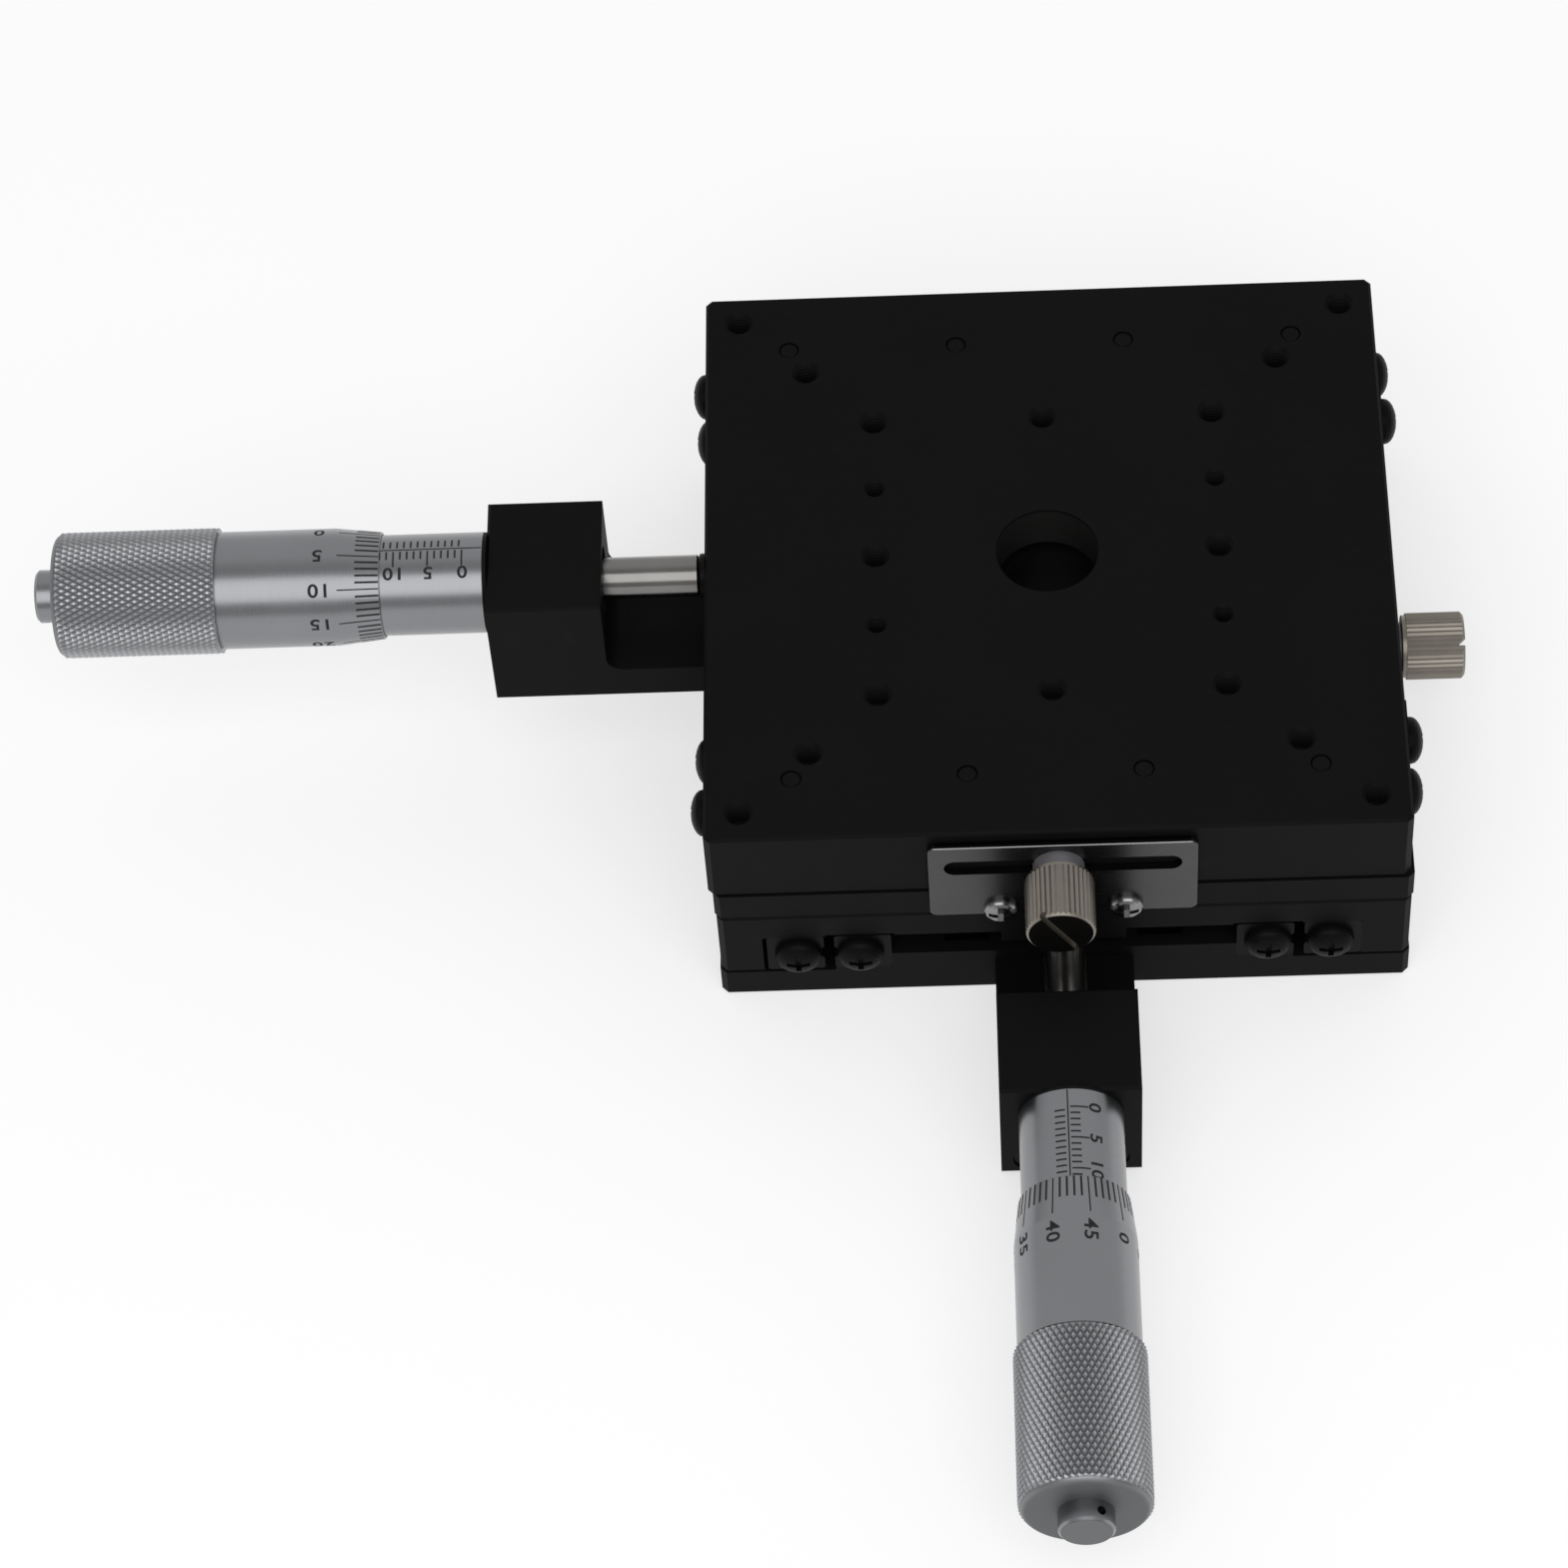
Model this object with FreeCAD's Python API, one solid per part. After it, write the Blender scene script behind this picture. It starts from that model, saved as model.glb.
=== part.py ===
import FreeCAD, Part
import math
import os

# Two-axis crossed-roller positioning stage with a micrometer head on each axis.
# Millimetres. Origin at the centre of the lower base plate's underside, +Z up.
# Each axis unit is drawn in its own frame: it travels along Y, its micrometer stands
# on the -Y end and its travel lock on the +X side. The lower unit stays as drawn. The
# upper unit is the same unit turned so that it travels along X, one unit height higher.

V = FreeCAD.Vector

# Axis unit
unit_side = 100.0
corner_chamfer = 0.9
edge_chamfer = 0.4
x_table_rest = -0.62
aperture_r = 7.5
overrun = 1.0

# Moving table: a top web with a skirt down each side
table_web = 5.2
skirt_wall = 6.9
preload_gap = 0.6
table_side_play = 0.2
table_gap = 0.5
rib_wall = 1.5
rib_clearance = 2.4
rail_relief = 0.4
rail_relief_side = 0.5

# Base plate: slab, seats for the inner rails, raised land between them
slab_height = 5.6
land_rise = 3.8
seat_margin = 0.75

# Crossed-roller rails
rail_pair_width = 18.0
rail_height = 8.0
rail_floor_gap = 0.6
rail_gap = 1.5
rail_end_chamfer = 0.3
roller_d = 3.0
roller_short = 0.2
roller_chamfer = 0.2
roller_fit = 0.015
groove_relief_width = 0.6
groove_relief_depth = 0.4
roller_count = 12
cage_inset = 10.0
cage_thickness = 0.7
cage_height = 6.4
cage_window_play = 0.1
cage_end_margin = 5.0

# Fasteners: radius of shank and head, height of head
m3_r = 1.5
m3_head_r = 2.75
m3_head_h = 3.0
m3_socket_r = 1.4
m3_socket_depth = 1.5
head_play = 0.15
thread_play = 0.02
clearance_r = 0.2
tip_chamfer = 0.3
rail_bolt_inset = 3.5
rail_bolt_end = 12.5
rail_bolt_count = 4
rail_bolt_head_sink = 0.2
rail_bolt_tip_sink = 0.1
inner_bolt_floor = 1.2
inner_bolt_floor_play = 0.4
end_screw_from_face = 3.75
end_screw_head_r = 3.4
end_screw_head_h = 2.3
end_screw_rim = 0.5
end_screw_l = 6.0
end_screw_hole_l = 7.0
cross_recess_w = 0.8
cross_recess_l = 3.4
cross_recess_depth = 1.0
preload_screw_sink = 0.9

# Tapped holes of the table: tap drill, countersink, depth, square sides
m4_drill_r = 1.65
m4_sink_r = 2.15
m3_drill_r = 1.25
m3_sink_r = 1.6
tapped_floor = 0.7
corner_inset = 5.0
middle_inset = 15.0
inner_square = 50.0
small_square_x = 25.0

# Screws that join the upper base plate to the lower table
join_rail_gap = 3.9
join_outset = 2.1
join_head_floor = 5.0
join_floor = 0.8
join_hole_play = 0.2

# Tapped holes under the lower base plate
foot_inset = 10.0
foot_depth = 4.6

# Return springs between the inner rails
spring_join_gap = 7.0
spring_r = 2.5
spring_wire_r = 0.4
spring_leg_l = 5.0
spring_rib_gap = 0.1
spring_slot_play = 0.7
spring_slot_end = 2.0
post_r = 1.5
post_end = 16.0
post_bury = 3.0
post_over = 1.6
post_play = 0.1

# Micrometer bracket
axis_drop = 3.3
bracket_half_width = 10.0
bracket_foot_z = 1.1
bracket_over = 6.1
bracket_arm_l = 15.5
bracket_arm_t = 6.0
bracket_block_l = 16.8
bracket_fillet = 2.5
bracket_chamfer = 0.4
bracket_screw_side = 4.6
bracket_screw_rise = 3.0
bracket_screw_sink = 3.3
bracket_screw_bite = 10.0
clamp_screw_y = 8.0
clamp_screw_l = 4.0

# Micrometer head
stem_r = 4.75
stem_fit = 0.03
stem_short = 0.6
ring_r = 7.33
ring_t = 0.55
sleeve_r = 7.38
sleeve_l = 42.0
sleeve_front_wall = 2.0
sleeve_bore_r = 4.5
nut_l = 14.0
nut_fit = 0.02
nut_rim_r = 5.6
nut_rim_t = 1.6
spindle_r = 3.05
spindle_fit = 0.04
spindle_tip_chamfer = 0.35
spindle_reach = 46.35
zero_mark_gap = 2.9
thread_pitch = 0.5
thread_rise = 0.2
thread_fit = 0.05
thread_back = 47.0
thimble_play = 0.12
thimble_rim_wall = 0.3
thimble_bevel_l = 6.8
thimble_plain_wall = 1.1
thimble_plain_l = 17.2
thimble_neck_depth = 0.25
thimble_neck_l = 0.5
thimble_grip_wall = 1.72
thimble_grip_l = 24.0
thimble_grip_round = 1.3
thimble_end_wall = 4.0
thimble_hub_l = 2.0
cap_stem_r = 2.0
cap_stem_l = 1.8
cap_r = 3.9
cap_l = 3.1
cap_hole_r = 0.65
cap_hole_turn = 334.0
cap_chamfer = 0.4
cap_fit = 0.02

# Contact button on the table
button_r = 3.2
button_proud = 0.82
button_chamfer = 0.2
button_stem_r = 1.5
button_stem_l = 5.0

# Travel lock
plate_t = 1.0
plate_end = 2.25
plate_edge_r = 0.22
plate_foot_z = 0.9
plate_over = 4.9
plate_corner_r = 1.2
lock_rise = 6.5
slot_l = 33.7
slot_play = 0.1
plate_screw_y = 9.0
plate_screw_z = 2.5
plate_screw_r = 1.25
plate_screw_head_r = 2.4
plate_screw_head_h = 1.6
plate_screw_rim = 0.4
plate_screw_l = 7.0
plate_hole_play = 0.1
washer_r = 3.66
lower_washer_t = 0.8
upper_washer_t = 2.5
washer_chamfer = 0.2
knob_r = 4.98
knob_l = 9.15
knob_collar_l = 0.6
knob_collar_step = 0.3
knob_chamfer = 0.45
knob_ridge = 0.22
knob_ridges = 40
knob_slot_w = 0.9
knob_slot_depth = 0.9
knob_slot_angle = 32.0
knob_shank_bite = 4.8
knob_hole_play = 0.05

# Worked out from the sizes above
half = unit_side / 2
table_half = half - table_side_play
table_foot = slab_height + table_gap
land_height = slab_height + land_rise
rail_foot = slab_height + rail_floor_gap
rail_mid_z = rail_foot + rail_height / 2
web_under = rail_foot + rail_height
unit_height = web_under + table_web
rib_half_width = aperture_r + rib_wall
rib_foot = land_height + rib_clearance
rail_back = table_half - skirt_wall
skirt_in = rail_back + preload_gap
rail_inner_x = rail_back - rail_pair_width
rail_mid_x = rail_inner_x + rail_pair_width / 2
rail_width = (rail_pair_width - rail_gap) / 2
end_screw_inset = rail_width - end_screw_from_face
bolt_pitch = (unit_side - 2 * rail_bolt_end) / (rail_bolt_count - 1)
bolt_places = [rail_bolt_end - half + i * bolt_pitch for i in range(rail_bolt_count)]
roller_l = roller_d - roller_short
cage_length = unit_side - 2 * cage_inset
groove_half = (roller_d / 2 + roller_fit) * math.sqrt(2)
preload_screw_l = skirt_wall - preload_screw_sink
tapped_depth = table_web - tapped_floor
corner_square = unit_side - 2 * corner_inset
middle_square = unit_side - 2 * middle_inset
foot_square = unit_side - 2 * foot_inset
join_x = rail_inner_x - join_rail_gap
join_y = rail_mid_x + join_outset
join_engagement = table_web - join_floor
spring_x = join_x - spring_join_gap
spring_z = rib_foot - spring_rib_gap - spring_r
post_y = half - post_end
axis_z = unit_height - axis_drop
bracket_top_z = axis_z + bracket_over
bracket_screw_x = bracket_half_width - bracket_screw_side
bracket_screw_z = bracket_foot_z + bracket_screw_rise
block_in = -half - bracket_arm_l
block_out = block_in - bracket_block_l
ring_out = block_out - ring_t
sleeve_end = ring_out - sleeve_l
thread_r = spindle_r + thread_rise
thimble_bore_r = sleeve_r + thimble_play
thimble_rim_r = thimble_bore_r + thimble_rim_wall
thimble_plain_r = thimble_bore_r + thimble_plain_wall
thimble_neck_r = thimble_plain_r - thimble_neck_depth
thimble_grip_r = thimble_bore_r + thimble_grip_wall
plate_half_l = slot_l / 2 + plate_end
slot_z = table_foot + lock_rise
plate_h = slot_z + plate_over - plate_foot_z


def box(x0, x1, y0, y1, z0, z1):
    return Part.makeBox(x1 - x0, y1 - y0, z1 - z0, V(x0, y0, z0))


def rod(axis, a, b, r, low, high):
    # round bar along x, y or z; a and b are its place on the other two axes, in order
    start = {"x": V(low, a, b), "y": V(a, low, b), "z": V(a, b, low)}[axis]
    way = {"x": V(1, 0, 0), "y": V(0, 1, 0), "z": V(0, 0, 1)}[axis]
    return Part.makeCylinder(r, high - low, start, way)


def lathe(axis, a, b, outline):
    # turned solid about an axis line; outline is a list of (radius, place along the axis)
    def point(r, t):
        return {"x": V(t, a, b + r), "y": V(a, t, b + r), "z": V(a + r, b, t)}[axis]

    start = {"x": V(0, a, b), "y": V(a, 0, b), "z": V(a, b, 0)}[axis]
    way = {"x": V(1, 0, 0), "y": V(0, 1, 0), "z": V(0, 0, 1)}[axis]
    wire = Part.makePolygon([point(r, t) for r, t in outline + outline[:1]])
    return Part.Face(wire).revolve(start, way, 360)


def group(solids):
    return Part.makeCompound(solids)


def both(values):
    return [s * v for v in values for s in (-1, 1)]


def hex_prism(axis, a, b, r, low, high):
    def point(turn):
        c = r * math.cos(turn)
        s = r * math.sin(turn)
        return {"x": V(low, a + c, b + s), "y": V(a + c, low, b + s), "z": V(a + c, b + s, low)}[axis]

    way = {"x": V(high - low, 0, 0), "y": V(0, high - low, 0), "z": V(0, 0, high - low)}[axis]
    wire = Part.makePolygon([point(i * math.pi / 3) for i in range(7)])
    return Part.Face(wire).extrude(way)


def octagon(hx, hy, corner, z0, z1):
    points = [(hx, hy - corner), (hx - corner, hy), (corner - hx, hy), (-hx, hy - corner)]
    points += [(-x, -y) for x, y in points]
    wire = Part.makePolygon([V(x, y, z0) for x, y in points + points[:1]])
    return Part.Face(wire).extrude(V(0, 0, z1 - z0))


def rim_chamfer(solid, z, size):
    edges = [e for e in solid.Edges if all(abs(v.Point.z - z) < size / 2 for v in e.Vertexes)]
    return solid.makeChamfer(size, edges)


def tapped(x, y, top, drill_r, sink_r, depth):
    # blind tapped hole from a face at height top, with its countersink
    sink = sink_r - drill_r
    return lathe("z", x, y, [(0, top + overrun), (sink_r, top + overrun), (sink_r, top),
                             (drill_r, top - sink), (drill_r, top - depth), (0, top - depth)])


def square_places(side_x, side_y):
    return [(sx * side_x / 2, sy * side_y / 2) for sx in (-1, 1) for sy in (-1, 1)]


def socket_screw(axis, a, b, under, tip):
    # cap screw: under the head at under, shank end at tip
    way = 1 if under > tip else -1
    top = under + way * m3_head_h
    shank = lathe(axis, a, b, [(0, under), (m3_r, under), (m3_r, tip + way * tip_chamfer),
                               (m3_r - tip_chamfer, tip), (0, tip)])
    head = rod(axis, a, b, m3_head_r, min(under, top), max(under, top))
    floor = top - way * m3_socket_depth
    socket = hex_prism(axis, a, b, m3_socket_r, min(floor, top), max(floor, top))
    return head.fuse(shank).removeSplitter().cut(socket)


def cross_screw(axis, a, b, seat, way, head_r, head_h, rim, shank_r, shank_l):
    # domed screw with a cross recess: head stands on seat and points along way
    steps = 6
    dome = []
    for i in range(steps + 1):
        t = i / steps * math.pi / 2
        dome.append((head_r * math.cos(t), seat + way * (rim + (head_h - rim) * math.sin(t))))
    outline = [(0, seat - way * shank_l), (shank_r - tip_chamfer, seat - way * shank_l),
               (shank_r, seat - way * (shank_l - tip_chamfer)), (shank_r, seat), (head_r, seat)]
    body = lathe(axis, a, b, outline + dome[:-1] + [(0, seat + way * head_h)])
    top = seat + way * (head_h + overrun)
    floor = seat + way * (head_h - cross_recess_depth)
    low, high = min(top, floor), max(top, floor)
    w = cross_recess_w / 2
    k = cross_recess_l / 2
    for p, q in ((w, k), (k, w)):
        if axis == "x":
            body = body.cut(box(low, high, a - p, a + p, b - q, b + q))
        else:
            body = body.cut(box(a - p, a + p, low, high, b - q, b + q))
    return body


def grub_screw(axis, a, b, low, high):
    body = rod(axis, a, b, m3_r, low, high)
    return body.cut(hex_prism(axis, a, b, m3_socket_r / 2, low, low + m3_socket_depth))


def rail(side, inner):
    # one rail with its V groove; side is -1 or 1, inner rails stand on the base plate
    back = rail_inner_x if inner else rail_back
    face = back + rail_width if inner else back - rail_width
    way = 1 if inner else -1
    apex = rail_mid_x - way * groove_half
    lip = groove_half - rail_gap / 2
    relief = groove_relief_width / 2
    r_in = apex + way * relief
    low, high = rail_mid_z - rail_height / 2, rail_mid_z + rail_height / 2
    c = rail_end_chamfer
    points = [(back, low + c), (back + way * c, low), (face - way * c, low), (face, low + c),
              (face, rail_mid_z - lip), (r_in, rail_mid_z - relief),
              (apex - way * groove_relief_depth, rail_mid_z - relief),
              (apex - way * groove_relief_depth, rail_mid_z + relief), (r_in, rail_mid_z + relief),
              (face, rail_mid_z + lip), (face, high - c), (face - way * c, high),
              (back + way * c, high), (back, high - c)]
    wire = Part.makePolygon([V(side * x, -half, z) for x, z in points + points[:1]])
    bar = Part.Face(wire).extrude(V(0, unit_side, 0))
    bolt_x = side * (back + way * rail_bolt_inset)
    end_x = side * (back + way * end_screw_inset)
    holes = []
    sink = m3_head_h + rail_bolt_head_sink
    for y in bolt_places:
        holes.append(rod("z", bolt_x, y, m3_r + clearance_r, low - overrun, high + overrun))
        if inner:
            holes.append(rod("z", bolt_x, y, m3_head_r + head_play, high - sink, high + overrun))
        else:
            holes.append(rod("z", bolt_x, y, m3_head_r + head_play, low - overrun, low + sink))
    r = m3_r + thread_play
    holes.append(rod("y", end_x, rail_mid_z, r, -half - overrun, end_screw_hole_l - half))
    holes.append(rod("y", end_x, rail_mid_z, r, half - end_screw_hole_l, half + overrun))
    return bar.cut(holes)


def rail_bolts(inner):
    screws = []
    for side in (-1, 1):
        x = side * (rail_inner_x + rail_bolt_inset if inner else rail_back - rail_bolt_inset)
        for y in bolt_places:
            if inner:
                under = rail_foot + rail_height - m3_head_h - rail_bolt_head_sink
                screws.append(socket_screw("z", x, y, under, inner_bolt_floor))
            else:
                under = rail_foot + m3_head_h + rail_bolt_head_sink
                screws.append(socket_screw("z", x, y, under, unit_height - rail_bolt_tip_sink))
    return screws


def end_screws(inner):
    screws = []
    for x in both([rail_inner_x + end_screw_inset if inner else rail_back - end_screw_inset]):
        for way in (-1, 1):
            screws.append(cross_screw("y", x, rail_mid_z, way * half, way, end_screw_head_r,
                                      end_screw_head_h, end_screw_rim, m3_r, end_screw_l))
    return screws


def cage(side):
    x = side * rail_mid_x
    strip = box(x - cage_thickness / 2, x + cage_thickness / 2, -cage_length / 2, cage_length / 2,
                rail_mid_z - cage_height / 2, rail_mid_z + cage_height / 2)
    wy = roller_d / 2 + cage_window_play
    wz = (roller_d + roller_l) / 2 / math.sqrt(2) + cage_window_play
    return strip.cut([box(x - cage_thickness, x + cage_thickness, y - wy, y + wy,
                          rail_mid_z - wz, rail_mid_z + wz) for y in roller_places()])


def roller_places():
    pitch = (cage_length - 2 * cage_end_margin) / (roller_count - 1)
    return [(i - (roller_count - 1) / 2) * pitch for i in range(roller_count)]


def rollers(side):
    # neighbouring rollers lie at right angles to each other
    solids = []
    c = roller_chamfer
    r, k = roller_d / 2, roller_l / 2
    blank = lathe("z", 0, 0, [(0, -k), (r - c, -k), (r, c - k), (r, k - c), (r - c, k), (0, k)])
    for i, y in enumerate(roller_places()):
        one = blank.copy()
        one.rotate(V(0, 0, 0), V(0, 1, 0), 45 if i % 2 else -45)
        one.translate(V(side * rail_mid_x, y, rail_mid_z))
        solids.append(one)
    return solids


def base_plate(upper):
    body = rim_chamfer(octagon(half, half, corner_chamfer, 0, slab_height), 0, edge_chamfer)
    seat = rail_mid_x - seat_margin
    body = body.fuse([box(-seat, seat, -half, half, slab_height / 2, rail_foot),
                      box(-rail_inner_x, rail_inner_x, -half, half, slab_height / 2, land_height)])
    body = body.removeSplitter()
    tools = [rod("z", 0, 0, aperture_r, -overrun, land_height + overrun)]
    for x in both([rail_inner_x + rail_bolt_inset]):
        for y in bolt_places:
            floor = inner_bolt_floor - inner_bolt_floor_play
            tools.append(rod("z", x, y, m3_r + thread_play, floor, rail_foot + overrun))
    slot = spring_r + spring_slot_play
    for x in both([spring_x]):
        end = half - spring_slot_end
        tools.append(box(x - slot, x + slot, -end, end, spring_z - slot, land_height + overrun))
        tools.append(rod("z", x, -post_y, post_r + thread_play, spring_z - slot - post_bury, land_height))
    for x in both([bracket_screw_x]):
        deep = bracket_screw_bite + overrun - half
        tools.append(rod("y", x, bracket_screw_z, m3_r + thread_play, -half - overrun, deep))
    for y in both([plate_screw_y]):
        deep = half + plate_t - plate_screw_l - overrun
        tools.append(rod("x", y, plate_screw_z, plate_screw_r + thread_play, deep, half + overrun))
    if upper:
        for x, y in square_places(2 * join_x, 2 * join_y):
            tools.append(rod("z", x, y, m3_r + clearance_r, -overrun, land_height))
            tools.append(rod("z", x, y, m3_head_r + head_play, join_head_floor, land_height + overrun))
    else:
        for x, y in square_places(foot_square, foot_square):
            hole = tapped(x, y, 0, m4_drill_r, m4_sink_r, foot_depth)
            hole.rotate(V(x, y, 0), V(1, 0, 0), 180)
            tools.append(hole)
    return body.cut(tools)


def table(upper):
    body = octagon(table_half, half, corner_chamfer, table_foot, unit_height)
    body = rim_chamfer(body, unit_height, edge_chamfer)
    long = half + overrun
    # one skirt is the reference for its rail, the preload screws in the other push the rails in
    body = body.cut(box(-skirt_in, rail_back, -long, long, table_foot - overrun, web_under))
    for s in (-1, 1):
        a = s * (rail_inner_x - rail_relief_side)
        b = s * (rail_mid_x + rail_relief_side)
        body = body.cut(box(min(a, b), max(a, b), -long, long, web_under - overrun, web_under + rail_relief))
    body = body.fuse(box(-rib_half_width, rib_half_width, -half, half, rib_foot, web_under))
    body = body.removeSplitter()
    tools = [rod("z", 0, 0, aperture_r, table_foot, unit_height + overrun)]
    big = square_places(corner_square, corner_square) + square_places(middle_square, middle_square)
    big += square_places(inner_square, inner_square)
    big += [(0, y) for y in both([inner_square / 2])] + [(x, 0) for x in both([inner_square / 2])]
    for x, y in big:
        tools.append(tapped(x, y, unit_height, m4_drill_r, m4_sink_r, tapped_depth))
    for x, y in square_places(small_square_x, inner_square):
        tools.append(tapped(x, y, unit_height, m3_drill_r, m3_sink_r, tapped_depth))
    for x in both([rail_back - rail_bolt_inset]):
        for y in bolt_places:
            tools.append(rod("z", x, y, m3_r + thread_play, web_under - overrun, unit_height + overrun))
    for y in bolt_places:
        tools.append(rod("x", y, rail_mid_z, m3_r + thread_play, -table_half - overrun, overrun - skirt_in))
    for x in both([spring_x]):
        tools.append(rod("z", x, post_y, post_r + thread_play, web_under - overrun, web_under + post_bury))
    tools.append(rod("y", 0, axis_z, button_stem_r + thread_play, -half - overrun, button_stem_l + overrun - half))
    deep = table_half - knob_shank_bite - overrun / 2
    tools.append(rod("x", 0, slot_z, m3_r + knob_hole_play, deep, half + overrun))
    if not upper:
        for x, y in square_places(2 * join_y, 2 * join_x):
            floor = unit_height - join_engagement - join_hole_play
            tools.append(rod("z", x, y, m3_r + thread_play, floor, unit_height + overrun))
    return body.cut(tools)


def bracket():
    w = bracket_half_width
    arm_top = bracket_foot_z + bracket_arm_t
    f = bracket_fillet
    turn = math.pi / 4
    mid = V(0, block_in + f - f * math.sin(turn), arm_top + f - f * math.cos(turn))
    corners = [V(0, block_out, bracket_foot_z), V(0, -half, bracket_foot_z), V(0, -half, arm_top),
               V(0, block_in + f, arm_top), V(0, block_in, arm_top + f), V(0, block_in, bracket_top_z),
               V(0, block_out, bracket_top_z)]
    edges = [Part.makeLine(corners[i], corners[i + 1]) for i in range(len(corners) - 1) if i != 3]
    edges.insert(3, Part.Arc(corners[3], mid, corners[4]).toShape())
    edges.append(Part.makeLine(corners[-1], corners[0]))
    side = Part.Face(Part.Wire(edges))
    side.translate(V(-w, 0, 0))
    body = side.extrude(V(2 * w, 0, 0))
    top = [e for e in body.Edges if all(abs(v.Point.z - bracket_top_z) < bracket_chamfer for v in e.Vertexes)]
    body = body.makeChamfer(bracket_chamfer, top)
    tools = [rod("y", 0, axis_z, stem_r + stem_fit, block_out - overrun, block_in + overrun)]
    for x in both([bracket_screw_x]):
        tools.append(rod("y", x, bracket_screw_z, m3_r + clearance_r, block_out - overrun, overrun - half))
        tools.append(rod("y", x, bracket_screw_z, m3_head_r + head_play, block_out - overrun,
                         block_out + bracket_screw_sink))
    y = block_out + clamp_screw_y
    tools.append(rod("x", y, axis_z, m3_r + thread_play, -w - overrun, 0))
    return body.cut(tools)


def micrometer(tip):
    # tip is the place of the spindle's end; the head reads the distance from its zero mark
    edge = tip - spindle_reach
    sleeve = lathe("y", 0, axis_z, [
        (spindle_r + spindle_fit, block_in - stem_short), (stem_r - tip_chamfer, block_in - stem_short),
        (stem_r, block_in - stem_short - tip_chamfer), (stem_r, ring_out), (sleeve_r, ring_out),
        (sleeve_r, sleeve_end), (sleeve_bore_r, sleeve_end), (sleeve_bore_r, ring_out - sleeve_front_wall),
        (spindle_r + spindle_fit, ring_out - sleeve_front_wall)])
    ring = lathe("y", 0, axis_z, [(stem_r + stem_fit, block_out), (ring_r, block_out),
                                  (ring_r, ring_out), (stem_r + stem_fit, ring_out)])
    nut = lathe("y", 0, axis_z, [
        (thread_r + thread_fit, sleeve_end + nut_l), (sleeve_bore_r - nut_fit, sleeve_end + nut_l),
        (sleeve_bore_r - nut_fit, sleeve_end), (nut_rim_r, sleeve_end),
        (nut_rim_r, sleeve_end - nut_rim_t), (thread_r + thread_fit, sleeve_end - nut_rim_t)])
    grip_end = edge - thimble_bevel_l - thimble_plain_l - thimble_grip_l
    hub_in = grip_end + thimble_end_wall
    hub_step = hub_in - thimble_hub_l
    thread_start = tip - thread_back
    spindle = lathe("y", 0, axis_z, [
        (0, tip), (spindle_r - spindle_tip_chamfer, tip), (spindle_r, tip - spindle_tip_chamfer),
        (spindle_r, thread_start), (thread_r, thread_start), (thread_r, hub_step + thread_fit),
        (0, hub_step + thread_fit)])
    bore = thimble_bore_r
    r0, r1, r2 = thimble_rim_r, thimble_plain_r, thimble_grip_r
    plain_end = edge - thimble_bevel_l - thimble_plain_l
    outline = [(bore, edge), (r0, edge), (r1, edge - thimble_bevel_l), (r1, plain_end + thimble_neck_l),
               (thimble_neck_r, plain_end + thimble_neck_l), (thimble_neck_r, plain_end), (r2, plain_end)]
    steps = 5
    for i in range(steps + 1):
        t = i / steps * math.pi / 2
        outline.append((r2 - thimble_grip_round * (1 - math.cos(t)),
                        grip_end + thimble_grip_round * (1 - math.sin(t))))
    outline += [(cap_stem_r + cap_fit, grip_end), (cap_stem_r + cap_fit, hub_step),
                (thread_r + thread_fit, hub_step), (thread_r + thread_fit, hub_in), (bore, hub_in)]
    thimble = lathe("y", 0, axis_z, outline)
    cap_end = grip_end - cap_l
    cap = lathe("y", 0, axis_z, [
        (0, grip_end + cap_stem_l), (cap_stem_r, grip_end + cap_stem_l), (cap_stem_r, grip_end),
        (cap_r, grip_end), (cap_r, cap_end + cap_chamfer), (cap_r - cap_chamfer, cap_end), (0, cap_end)])
    hole_y = grip_end - cap_l / 2
    hole = rod("z", 0, hole_y, cap_hole_r, axis_z - cap_r - overrun, axis_z + cap_r + overrun)
    # the cross hole turns with the thimble, whose zero line is on top at each full turn
    reading = ring_out - zero_mark_gap - edge
    hole.rotate(V(0, hole_y, axis_z), V(0, 1, 0), cap_hole_turn - reading / thread_pitch * 360)
    cap = cap.cut(hole)
    return {"sleeve": sleeve, "seat_ring": ring, "spindle_nut": nut, "spindle": spindle,
            "thimble": thimble, "thimble_cap": cap}


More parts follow.
